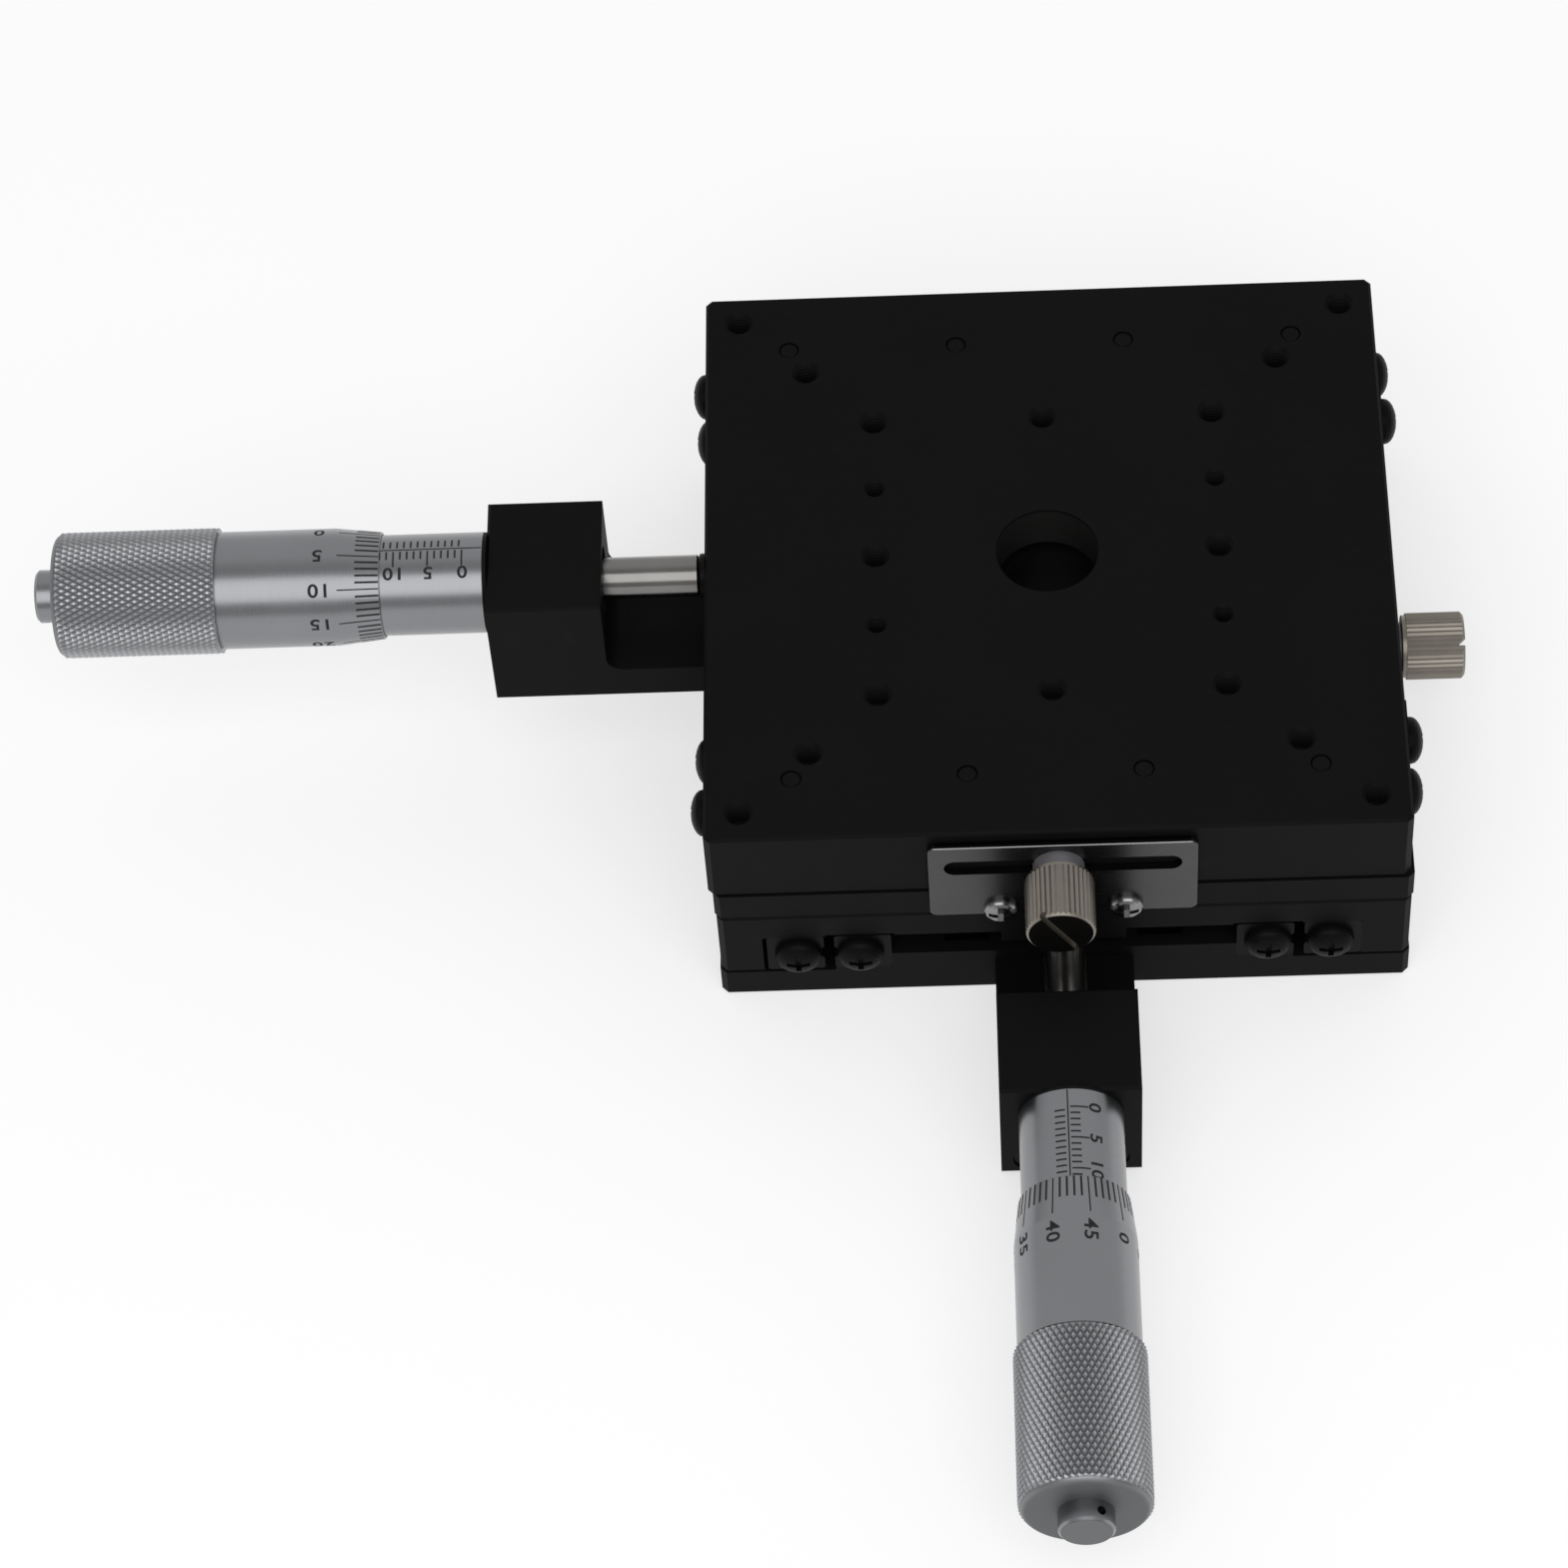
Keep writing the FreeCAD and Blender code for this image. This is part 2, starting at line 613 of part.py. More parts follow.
def lock(table_shift, washer_t):
    # plate screwed to the base plate's side; its slot lets the thumb screw ride with the table
    x0, x1 = half, half + plate_t
    r = plate_corner_r
    plate = box(x0, x1, -plate_half_l, plate_half_l, plate_foot_z, plate_foot_z + plate_h)
    ends = [e for e in plate.Edges if abs(e.Vertexes[0].Point.x - e.Vertexes[-1].Point.x) > plate_t / 2]
    plate = plate.makeFillet(r, ends)
    rim = [e for e in plate.Edges if e.BoundBox.XMin > x1 - plate_t / 2]
    plate = plate.makeFillet(plate_edge_r, rim)
    sr = m3_r + slot_play
    sy = slot_l / 2 - sr
    slot = box(x0 - overrun, x1 + overrun, -sy, sy, slot_z - sr, slot_z + sr)
    tools = [slot] + [rod("x", y, slot_z, sr, x0 - overrun, x1 + overrun) for y in (-sy, sy)]
    plate = plate.cut(tools[0].fuse(tools[1:]))
    screws = []
    for y in both([plate_screw_y]):
        plate = plate.cut(rod("x", y, plate_screw_z, plate_screw_r + plate_hole_play, x0 - overrun, x1 + overrun))
        screws.append(cross_screw("x", y, plate_screw_z, x1, 1, plate_screw_head_r, plate_screw_head_h,
                                  plate_screw_rim, plate_screw_r, plate_screw_l))
    y = table_shift
    w1 = x1 + washer_t
    c = washer_chamfer
    washer = lathe("x", y, slot_z, [(m3_r + slot_play, x1), (washer_r, x1), (washer_r, w1 - c),
                                    (washer_r - c, w1), (m3_r + slot_play, w1)])
    k1 = w1 + knob_l
    k = knob_chamfer
    collar_r = knob_r - knob_collar_step
    collar_end = w1 + knob_collar_l
    blank = lathe("x", y, slot_z, [(0, w1), (collar_r, w1), (collar_r, collar_end), (knob_r, collar_end),
                                   (knob_r, k1 - k), (knob_r - k, k1), (0, k1)])
    points = []
    for i in range(2 * knob_ridges):
        t = i * math.pi / knob_ridges
        d = knob_r if i % 2 else knob_r - knob_ridge
        points.append(V(w1, y + d * math.cos(t), slot_z + d * math.sin(t)))
    star = Part.Face(Part.makePolygon(points + points[:1])).extrude(V(knob_l, 0, 0))
    knob = blank.common(star)
    cut = box(k1 - knob_slot_depth, k1 + overrun, y - knob_slot_w / 2, y + knob_slot_w / 2,
              slot_z - 2 * knob_r, slot_z + 2 * knob_r)
    cut.rotate(V(0, y, slot_z), V(1, 0, 0), knob_slot_angle)
    tip = table_half - knob_shank_bite
    shank = lathe("x", y, slot_z, [(0, tip), (m3_r - tip_chamfer, tip), (m3_r, tip + tip_chamfer),
                                   (m3_r, collar_end), (0, collar_end)])
    knob = knob.cut(cut).fuse(shank).removeSplitter()
    return {"lock_plate": plate, "lock_plate_screws": group(screws), "lock_washer": washer, "lock_knob": knob}


def springs(table_shift):
    # tension springs, each drawn as the outer shape of its close coils: one eye round a post
    # in the base plate, the other round a post in the table
    coils, low_posts, high_posts = [], [], []
    slot = spring_r + spring_slot_play
    eye = post_r + post_play + spring_wire_r
    for x in both([spring_x]):
        y0, y1 = -post_y, post_y + table_shift
        low, high = y0 + eye + spring_leg_l, y1 - eye - spring_leg_l
        body = rod("y", x, spring_z, spring_r, low, high)
        for y, way, end in ((y0, 1, low), (y1, -1, high)):
            ring = Part.makeTorus(eye, spring_wire_r, V(x, y, spring_z), V(0, 0, 1))
            near = y + way * eye
            leg = rod("y", x, spring_z, spring_wire_r, min(near, end), max(near, end))
            body = body.fuse([ring, leg])
        coils.append(body)
        floor = spring_z - slot
        low_posts.append(rod("z", x, y0, post_r, floor - post_bury, spring_z + post_over))
        high_posts.append(rod("z", x, y1, post_r, spring_z - post_over, web_under + post_bury))
    return {"return_springs": group(coils), "base_spring_posts": group(low_posts),
            "table_spring_posts": group(high_posts)}


def axis_unit(upper):
    shift = x_table_rest if upper else 0
    moving = V(0, shift, 0)
    half_way = V(0, shift / 2, 0)
    parts = {"base_plate": base_plate(upper)}
    parts["inner_rails"] = group([rail(-1, True), rail(1, True)])
    parts["inner_rail_bolts"] = group(rail_bolts(True))
    parts["inner_end_screws"] = group(end_screws(True))
    parts["bracket"] = bracket()
    screws = [socket_screw("y", x, bracket_screw_z, block_out + bracket_screw_sink, bracket_screw_bite - half)
              for x in both([bracket_screw_x])]
    parts["bracket_screws"] = group(screws)
    clamp_in = -stem_r - thread_play
    parts["clamp_screw"] = grub_screw("x", block_out + clamp_screw_y, axis_z, clamp_in - clamp_screw_l, clamp_in)
    carried = {"table": table(upper)}
    carried["outer_rails"] = group([rail(-1, False), rail(1, False)])
    carried["outer_rail_bolts"] = group(rail_bolts(False))
    carried["outer_end_screws"] = group(end_screws(False))
    carried["preload_screws"] = group([grub_screw("x", y, rail_mid_z, -rail_back - preload_screw_l, -rail_back)
                                       for y in bolt_places])
    face = -half - button_proud
    c = button_chamfer
    carried["contact_button"] = lathe("y", 0, axis_z, [
        (0, face), (button_r - c, face), (button_r, face + c), (button_r, -half),
        (button_stem_r, -half), (button_stem_r, button_stem_l - half), (0, button_stem_l - half)])
    for name, shape in carried.items():
        shape.translate(moving)
        parts[name] = shape
    for name, solids in (("roller_cages", [cage(-1), cage(1)]), ("rollers", rollers(-1) + rollers(1))):
        parts[name] = group(solids)
        parts[name].translate(half_way)
    parts.update(micrometer(face + shift))
    parts.update(lock(shift, upper_washer_t if upper else lower_washer_t))
    parts.update(springs(shift))
    return parts


def join_screws():
    # drawn in the upper unit's frame, they reach down into the lower table
    return group([socket_screw("z", x, y, join_head_floor, -join_engagement)
                  for x, y in square_places(2 * join_x, 2 * join_y)])


def save(name, shape, upper):
    if upper:
        shape.rotate(V(0, 0, 0), V(0, 0, 1), -90)
        shape.translate(V(0, 0, unit_height))
    shape.exportStep("parts/" + name + ".step")
    print(name, len(shape.Solids), shape.isValid(), round(shape.Volume, 1))


os.makedirs("parts", exist_ok=True)
for prefix, upper in (("y_", False), ("x_", True)):
    for part_name, part_shape in axis_unit(upper).items():
        save(prefix + part_name, part_shape, upper)
save("unit_join_screws", join_screws(), True)
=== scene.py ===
import math

import bmesh
import bpy
from mathutils import Matrix, Vector


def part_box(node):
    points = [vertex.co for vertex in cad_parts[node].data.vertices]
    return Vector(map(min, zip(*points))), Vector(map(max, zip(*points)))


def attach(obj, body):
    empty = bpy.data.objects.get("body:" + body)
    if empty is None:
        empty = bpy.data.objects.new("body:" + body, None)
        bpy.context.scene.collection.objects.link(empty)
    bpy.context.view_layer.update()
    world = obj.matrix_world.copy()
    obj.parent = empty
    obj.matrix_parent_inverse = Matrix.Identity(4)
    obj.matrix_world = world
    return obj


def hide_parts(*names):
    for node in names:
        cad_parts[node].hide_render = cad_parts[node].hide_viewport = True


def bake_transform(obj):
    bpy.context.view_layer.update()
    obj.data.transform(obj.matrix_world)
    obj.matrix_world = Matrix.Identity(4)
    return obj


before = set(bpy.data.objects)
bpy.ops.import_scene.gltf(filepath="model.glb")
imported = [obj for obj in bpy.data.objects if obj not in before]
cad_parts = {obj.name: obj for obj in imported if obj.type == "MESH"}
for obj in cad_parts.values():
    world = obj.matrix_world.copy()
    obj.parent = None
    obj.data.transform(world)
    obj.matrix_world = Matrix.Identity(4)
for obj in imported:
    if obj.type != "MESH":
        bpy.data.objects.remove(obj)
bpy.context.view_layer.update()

# The stage is dressed here: knurled thimbles, the figures and lines of both micrometer
# scales, wound return springs and the finish of every piece. Pieces of an axis unit are
# laid out in millimetres in the unit's own frame, where it travels along Y with its
# micrometer at -Y, and are then put in place in the lower or the upper unit.

MM = 0.001
TURN = 2 * math.pi
UNIT_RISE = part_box("y_table")[1].z
UNIT_PLACE = {
    "y": Matrix.Scale(MM, 4),
    "x": (Matrix.Translation((0, 0, UNIT_RISE)) @ Matrix.Rotation(-TURN / 4, 4, "Z")
          @ Matrix.Scale(MM, 4)),
}
LOW_BODY = {"y": "base", "x": "cross_slide"}
HALF_TABLE = 50

# Points closer than this are one point, and flatter edges than this are shaded round
WELD = 0.0005
FLAT_EDGE = math.radians(5)

# Micrometer head
HEAD_Z = 16.1
SLEEVE_R = 7.38
RING_FRONT = -82.85
ZERO_MARK = -85.75
THREAD_PITCH = 0.5
SCALE_LENGTH = 25
THIMBLE_EDGE = {"y": -97.17, "x": -97.79}
BORE_R = 7.5
RIM_R = 7.8
RIM_BREAK = 0.06
BARREL_R = 8.6
BEVEL_L = 6.8
BARREL_L = 17.2
NECK_R = 8.35
NECK_L = 0.5
GRIP_R = 9.22
GRIP_L = 24.0
GRIP_ROUND = 0.9
GRIP_ROUND_STEPS = 5
HUB_L = 4.0
HUB_STEP = 2.0
HUB_HOLE_R = 3.3
CAP_HOLE_R = 2.02

# Diamond knurl: diamonds round the grip, half diamonds along it, flat share of each tip
KNURLS_ROUND = 60
KNURL_ROWS = 26
KNURL_DEPTH = 0.30
KNURL_FLAT = 0.26
SAME_R = 0.01
KNURL_SKIN = 0.05
END_FACE_SLOPE = 0.9

# Scales: the sleeve's zero line and the thimble's divisions are turned a little from the top
INDEX_TURN = {"y": math.radians(-4.0), "x": math.radians(-6.0)}
DIVISION_TURN = {"y": math.radians(-7.5), "x": math.radians(-2.5)}
DIVISIONS = 50
FIGURED = 5
INK_SINK = 0.03
INK_PROUD = 0.012
INK_CELL = 0.4
INK_WELD = 0.001
INK_CUT = 0.0001

# Figures: height of a figure in lettering of size 1, its spacing, roundness and added weight
FIGURE_SHARE = 0.72
FIGURE_SPACING = 1.1
FIGURE_STEPS = 4
FIGURE_BOLD = 0.05

# Sleeve scale: middle and length round the sleeve and thickness along it, for each line
INDEX_W = 0.2
INDEX_TUCK = 0.1
INDEX_PAST = 1.0
FIFTH_LINE = (1.62, 2.6, 0.25)
WHOLE_LINE = (1.02, 1.4, 0.27)
HALF_LINE = (-1.15, 1.5, 0.27)
SLEEVE_FIGURE = {"across": 3.95, "height": 1.85, "widened": 1.2}
FIGURE_SHIFT = {1: 0.1, 2: -0.17}

# Thimble scale: thickness round the bevel and length along it, for each line
DIVISION_MARGIN = 0.1
DIVISION_LINE = (0.3, 3.4)
FIGURED_LINE = (0.2, 6.0)
THIMBLE_FIGURE = {"across": 0, "height": 2.0, "widened": 1.17}
THIMBLE_FIGURE_BACK = 8.95

# Return springs
SPRING_X = 14.0
SPRING_R = 2.1
WIRE_R = 0.4
POST_Y = 34.0
POST_R = 1.5
POST_PLAY = 0.1
SPRING_LEG = 5.0
COILS = 40
COIL_STEPS = 18
EYE_STEPS = 24
COIL_WIRE_SIDES = 6
LEG_WIRE_SIDES = 8

# Painted glint lines on the threads in the drilled holes of the tables, with none in the middle
# aperture
HOLE_PITCH = 0.7
APERTURE_R = 8.0
HOLE_START = 0.35
HOLE_MARGIN = 2

# Tones of the finishes, as linear red, green and blue: dark and light, or one
ANODISED = (0.0044, 0.0044, 0.0045), (0.0064, 0.0064, 0.0063)
ANODISED_RUBBED = (0.0092, 0.0092, 0.0090)
# painted glint and painted lightening of shade inside the tables' holes
HOLE_PAINTED_GLINT = (0.022, 0.022, 0.021)
BLACK_SCREWS = (0.0026, 0.0026, 0.0027), (0.0050, 0.0050, 0.0051)
BLACK_RAILS = (0.0024, 0.0024, 0.0025), (0.0046, 0.0046, 0.0047)
BLACK_RING = (0.0050, 0.0050, 0.0050), (0.0080, 0.0080, 0.0080)
BLACK_RUBBED = (0.012, 0.012, 0.012)
CHROME = (0.236, 0.241, 0.252), (0.264, 0.270, 0.282)
CHROME_CAP_FACE = (0.150, 0.152, 0.157)
# painted highlight on the knurled grip and painted shade in its grooves
CHROME_KNURL_PAINTED_HIGHLIGHT = (0.46, 0.468, 0.486)
CHROME_GROOVE_PAINTED_SHADE = (0.200, 0.204, 0.212)
CHROME_END_FACE = (0.160, 0.163, 0.168)
PLATE = (0.070, 0.070, 0.070), (0.095, 0.095, 0.094)
# painted shade on the lock plate's top and a painted highlight along its front edge
PLATE_TOP_PAINTED_SHADE = (0.018, 0.018, 0.018)
PLATE_EDGE_PAINTED_HIGHLIGHT = (0.34, 0.34, 0.335)
NICKEL = (0.215, 0.196, 0.170), (0.280, 0.256, 0.224)
NICKEL_END = (0.030, 0.028, 0.026)
WASHER = (0.135, 0.130, 0.142), (0.175, 0.170, 0.184)
INK = (0.012, 0.012, 0.013), (0.030, 0.030, 0.032)
ROLLER = (0.50, 0.50, 0.51), (0.58, 0.58, 0.59)
BRASS = (0.48, 0.35, 0.14), (0.60, 0.45, 0.21)
PLATED = (0.20, 0.20, 0.20), (0.30, 0.30, 0.30)
SPRING_WIRE = (0.28, 0.28, 0.29), (0.36, 0.36, 0.37)
GROUND = (0.185, 0.180, 0.174), (0.235, 0.229, 0.221)
PAPER = (0.44, 0.44, 0.44), (0.46, 0.46, 0.46)
WHITE = (1.0, 1.0, 1.0)

# Tool lines: how far each axis squeezes them, so that they run round or along a piece
EVEN = (1, 1, 1)
TURNED_LINES = {"y": (0.004, 1, 0.004), "x": (1, 0.004, 0.004)}
GROUND_LINES = {"y": (0.03, 1, 0.03), "x": (1, 0.03, 0.03)}
DRAWN_LINES = {"y": (1, 0.03, 1), "x": (0.03, 1, 1)}

# Studio: the walls' light, a soft box in front, a floor that glows a little, and the camera
FLOOR_HALF = 3.0
FLOOR_DROP = 0.0001
FLOOR_GLOW = 0.60
WALL_LIGHT = 0.44
WALL_LIGHT_BEHIND = 0.32
WALL_BEHIND_FROM = 0.05
WALL_BEHIND_OVER = 0.35
SOFTBOX_PLACE = (0.0, -0.80, 1.02)
SOFTBOX_WIDE = 1.5
SOFTBOX_DEEP = 1.1
SOFTBOX_RADIANCE = 1.66
SENSOR_WIDTH = 36.0
FOCAL_LENGTH = 129.36
CLIP_NEAR = 0.01
CLIP_FAR = 20.0
CAMERA_PLACE = (-0.0088, -0.50228, 0.68884)
CAMERA_RIGHT = Vector((0.99881, -0.00305, -0.04871))
CAMERA_AHEAD = Vector((-0.03795, 0.57893, -0.81449))


def linked(name, data):
    """New object of the scene for a mesh, a light, a camera or a text."""
    made = bpy.data.objects.new(name, data)
    bpy.context.scene.collection.objects.link(made)
    return made


def finish_piece(bm, name, unit, body, material, smooth=None):
    """Places a finished mesh in its unit, closes it and makes it ride on its body."""
    bmesh.ops.remove_doubles(bm, verts=bm.verts, dist=WELD)
    bmesh.ops.recalc_face_normals(bm, faces=bm.faces)
    for face in bm.faces:
        face.smooth = smooth(face) if smooth else False
    for edge in bm.edges:
        edge.smooth = edge.is_manifold and edge.calc_face_angle() < FLAT_EDGE
    bmesh.ops.transform(bm, matrix=UNIT_PLACE[unit], verts=bm.verts)
    mesh = bpy.data.meshes.new(name)
    bm.to_mesh(mesh)
    bm.free()
    mesh.materials.append(material)
    piece = linked(name, mesh)
    if body:
        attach(piece, body)
    return piece


def lathe(bm, outline, steps):
    """Turns a closed outline of (radius, place along Y) about the Y axis."""
    corners = [bm.verts.new((r, t, 0)) for r, t in outline]
    edges = [bm.edges.new((a, b)) for a, b in zip(corners, corners[1:] + corners[:1])]
    bmesh.ops.spin(bm, geom=corners + edges, cent=(0, 0, 0), axis=(0, 1, 0), angle=TURN,
                   steps=steps, use_merge=True)


def knurled_thimble(unit, material):
    """Thimble with bevelled scale end, plain barrel and diamond-knurled grip."""
    edge = THIMBLE_EDGE[unit]
    barrel_end = edge - BEVEL_L - BARREL_L
    grip_end = barrel_end - GRIP_L
    knurl_end = grip_end + GRIP_ROUND
    row = (barrel_end - knurl_end) / KNURL_ROWS
    low_r = GRIP_R - KNURL_DEPTH
    outline = [
        (BORE_R, edge),
        (RIM_R - RIM_BREAK, edge),
        (RIM_R, edge - RIM_BREAK),
        (BARREL_R, edge - BEVEL_L),
        (BARREL_R, barrel_end + NECK_L),
        (NECK_R, barrel_end + NECK_L),
        (NECK_R, barrel_end),
    ]
    outline += [(low_r, barrel_end - i * row) for i in range(KNURL_ROWS + 1)]
    for i in range(1, GRIP_ROUND_STEPS + 1):
        t = i / GRIP_ROUND_STEPS * TURN / 4
        outline.append((low_r - GRIP_ROUND * (1 - math.cos(t)),
                        grip_end + GRIP_ROUND * (1 - math.sin(t))))
    hub = grip_end + HUB_L
    outline += [
        (CAP_HOLE_R, grip_end),
        (CAP_HOLE_R, hub - HUB_STEP),
        (HUB_HOLE_R, hub - HUB_STEP),
        (HUB_HOLE_R, hub),
        (BORE_R, hub),
    ]
    bm = bmesh.new()
    lathe(bm, outline, 2 * KNURLS_ROUND)
    # every second crossing of rows and columns is a tip, the others lie in the grooves
    tips = []
    for vert in bm.verts:
        r = math.hypot(vert.co.x, vert.co.z)
        place = round((barrel_end - vert.co.y) / row)
        column = round(math.atan2(vert.co.z, vert.co.x) / TURN * 2 * KNURLS_ROUND)
        on_grip = abs(r - low_r) < SAME_R and 0 <= place <= KNURL_ROWS
        if on_grip and (place + column) % 2 == 0:
            inner = 0 < place < KNURL_ROWS
            tip_r = low_r + KNURL_DEPTH / (1 - KNURL_FLAT) if inner else GRIP_R
            vert.co.x *= tip_r / r
            vert.co.z *= tip_r / r
            if inner:
                tips.append(vert)

    def on_knurl(face):
        middle = face.calc_center_median()
        return (knurl_end < middle.y < barrel_end
                and math.hypot(middle.x, middle.z) > low_r - KNURL_SKIN)

    bmesh.ops.triangulate(bm, faces=[f for f in bm.faces if on_knurl(f)],
                          quad_method="SHORT_EDGE")
    # the bevel cuts each tip flat, down to the grip's own radius
    bmesh.ops.bevel(bm, geom=tips, offset=100 * KNURL_FLAT, offset_type="PERCENT", segments=1,
                    profile=0.5, affect="VERTICES", material=-1)
    bmesh.ops.translate(bm, verts=bm.verts, vec=(0, 0, HEAD_Z))

    def turned(face):
        middle = face.calc_center_median()
        plain = middle.y > barrel_end or middle.y < knurl_end
        return plain and abs(face.normal.y) < END_FACE_SLOPE

    piece = finish_piece(bm, unit + "_knurled_thimble", unit, unit + "_thimble",
                         material, turned)
    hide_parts(unit + "_thimble")


def stroke(bm, across, along, width, length):
    """Flat patch of ink: across is its middle round the drum, along its middle on the axis."""
    place = (Matrix.Translation((across, along, 0))
             @ Matrix.Diagonal((width / 2, length / 2, 1, 1)))
    bmesh.ops.create_grid(bm, x_segments=1, y_segments=1, size=1, matrix=place)


def figure(bm, number, along, across, height, widened):
    """A number lying with its top towards the higher divisions, read along -Y."""
    curve = bpy.data.curves.new("figure", "FONT")
    curve.body = str(number)
    curve.size = height / FIGURE_SHARE
    curve.offset = FIGURE_BOLD
    curve.space_character = FIGURE_SPACING
    curve.resolution_u = FIGURE_STEPS
    holder = linked("figure", curve)
    graph = bpy.context.evaluated_depsgraph_get()
    flat = bpy.data.meshes.new_from_object(holder.evaluated_get(graph))
    bpy.data.objects.remove(holder)
    bpy.data.curves.remove(curve)
    glyph = bmesh.new()
    glyph.from_mesh(flat)
    xs = [v.co.x for v in glyph.verts]
    ys = [v.co.y for v in glyph.verts]
    middle = Vector(((min(xs) + max(xs)) / 2, (min(ys) + max(ys)) / 2, 0))
    place = (Matrix.Translation((across, along, 0)) @ Matrix.Rotation(-TURN / 4, 4, "Z")
             @ Matrix.Diagonal((widened, 1, 1, 1)) @ Matrix.Translation(-middle))
    bmesh.ops.transform(glyph, matrix=place, verts=glyph.verts)
    glyph.to_mesh(flat)
    glyph.free()
    bm.from_mesh(flat)
    bpy.data.meshes.remove(flat)


def ink(bm, radius, turn):
    """Gives flat ink its thickness and wraps it round the drum; x runs round, y along it."""
    bmesh.ops.remove_doubles(bm, verts=bm.verts, dist=INK_WELD)
    span = max(abs(v.co.x) for v in bm.verts)
    cut = -span
    while cut < span:
        bmesh.ops.bisect_plane(bm, geom=bm.verts[:] + bm.edges[:] + bm.faces[:], dist=INK_CUT,
                               plane_co=(cut, 0, 0), plane_no=(1, 0, 0))
        cut += INK_CELL
    bmesh.ops.translate(bm, verts=bm.verts, vec=(0, 0, -INK_SINK))
    top = bmesh.ops.extrude_face_region(bm, geom=bm.faces[:])
    raised = [e for e in top["geom"] if isinstance(e, bmesh.types.BMVert)]
    bmesh.ops.translate(bm, verts=raised, vec=(0, 0, INK_SINK + INK_PROUD))
    for vert in bm.verts:
        drum_r = radius(vert.co.y)
        angle = vert.co.x / drum_r + turn
        r = drum_r + vert.co.z
        vert.co = Vector((r * math.sin(angle), vert.co.y, HEAD_Z + r * math.cos(angle)))


def sleeve_scale(unit, material):
    """Index line, 1 mm and half-millimetre lines and their numbers on the sleeve."""
    bm = bmesh.new()
    start = RING_FRONT - INDEX_TUCK
    end = ZERO_MARK - SCALE_LENGTH - INDEX_PAST
    stroke(bm, 0, (start + end) / 2, INDEX_W, start - end)

    def line(y, kind):
        across, round_length, thickness = kind
        stroke(bm, across, y, round_length, thickness)

    for i in range(SCALE_LENGTH + 1):
        y = ZERO_MARK - i
        if i % FIGURED == 0:
            line(y, FIFTH_LINE)
            figure(bm, i, y + FIGURE_SHIFT[len(str(i))], **SLEEVE_FIGURE)
        else:
            line(y, WHOLE_LINE)
        if i < SCALE_LENGTH:
            line(y - THREAD_PITCH, HALF_LINE)
    ink(bm, lambda y: SLEEVE_R, INDEX_TURN[unit])
    finish_piece(bm, unit + "_sleeve_scale", unit, LOW_BODY[unit], material)


def thimble_scale(unit, material):
    """Fifty divisions round the thimble's bevel, with a number at every fifth."""
    bm = bmesh.new()
    edge = THIMBLE_EDGE[unit]
    at_index = (ZERO_MARK - edge) / THREAD_PITCH * DIVISIONS

    def outside(y):
        return RIM_R + (BARREL_R - RIM_R) * min(max((edge - y) / BEVEL_L, 0), 1)

    for i in range(DIVISIONS):
        part = bmesh.new()
        thickness, length = DIVISION_LINE if i % FIGURED else FIGURED_LINE
        stroke(part, 0, edge - DIVISION_MARGIN - length / 2, thickness, length)
        if i % FIGURED == 0:
            figure(part, i, edge - THIMBLE_FIGURE_BACK, **THIMBLE_FIGURE)
        ink(part, outside, (i - at_index) / DIVISIONS * TURN + DIVISION_TURN[unit])
        mesh = bpy.data.meshes.new("division")
        part.to_mesh(mesh)
        part.free()
        bm.from_mesh(mesh)
        bpy.data.meshes.remove(mesh)
    finish_piece(bm, unit + "_thimble_scale", unit, unit + "_thimble", material)


def wire_ring(bm, place):
    """Cross section of the spring wire, ready to be spun."""
    ring = bmesh.ops.create_circle(bm, segments=COIL_WIRE_SIDES, radius=WIRE_R,
                                   matrix=place)["verts"]
    return ring + list(dict.fromkeys(e for v in ring for e in v.link_edges))


def wire_leg(bm, middle, length, laid_about):
    """Straight piece of wire, laid down by a quarter turn about an axis."""
    place = Matrix.Translation(middle) @ Matrix.Rotation(TURN / 4, 4, laid_about)
    bmesh.ops.create_cone(bm, cap_ends=True, segments=LEG_WIRE_SIDES, radius1=WIRE_R,
                          radius2=WIRE_R, depth=length, matrix=place)


def wound_springs(unit, material):
    """Two tension springs, each a coil with a leg and an eye round a post at both ends."""
    shift = getattr(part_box(unit + "_table")[0], unit) / MM + HALF_TABLE
    low_corner, high_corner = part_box(unit + "_return_springs")
    z = (low_corner.z + high_corner.z) / 2 / MM - (UNIT_RISE / MM if unit == "x" else 0)
    eye_r = POST_R + POST_PLAY + WIRE_R
    low = -POST_Y + eye_r + SPRING_LEG
    high = POST_Y + shift - eye_r - SPRING_LEG
    steps = COILS * COIL_STEPS
    bm = bmesh.new()
    for x in (-SPRING_X, SPRING_X):
        wire = wire_ring(bm, Matrix.Translation((x + SPRING_R, low, z)))
        bmesh.ops.spin(bm, geom=wire, cent=(x, low, z), axis=(0, 1, 0), angle=COILS * TURN,
                       steps=steps, dvec=(0, (high - low) / steps, 0))
        for y, way, end in ((-POST_Y, 1, low), (POST_Y + shift, -1, high)):
            wire = wire_ring(bm, Matrix.Translation((x + eye_r, y, z))
                             @ Matrix.Rotation(TURN / 4, 4, "X"))
            bmesh.ops.spin(bm, geom=wire, cent=(x, y, z), axis=(0, 0, 1), angle=TURN,
                           steps=EYE_STEPS, use_merge=True)
            near = y + way * eye_r
            wire_leg(bm, (x, (near + end) / 2, z), abs(end - near), "X")
            wire_leg(bm, (x + SPRING_R / 2, end, z), SPRING_R, "Y")
    piece = finish_piece(bm, unit + "_wound_springs", unit, None, material)
    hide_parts(unit + "_return_springs")
    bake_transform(piece)


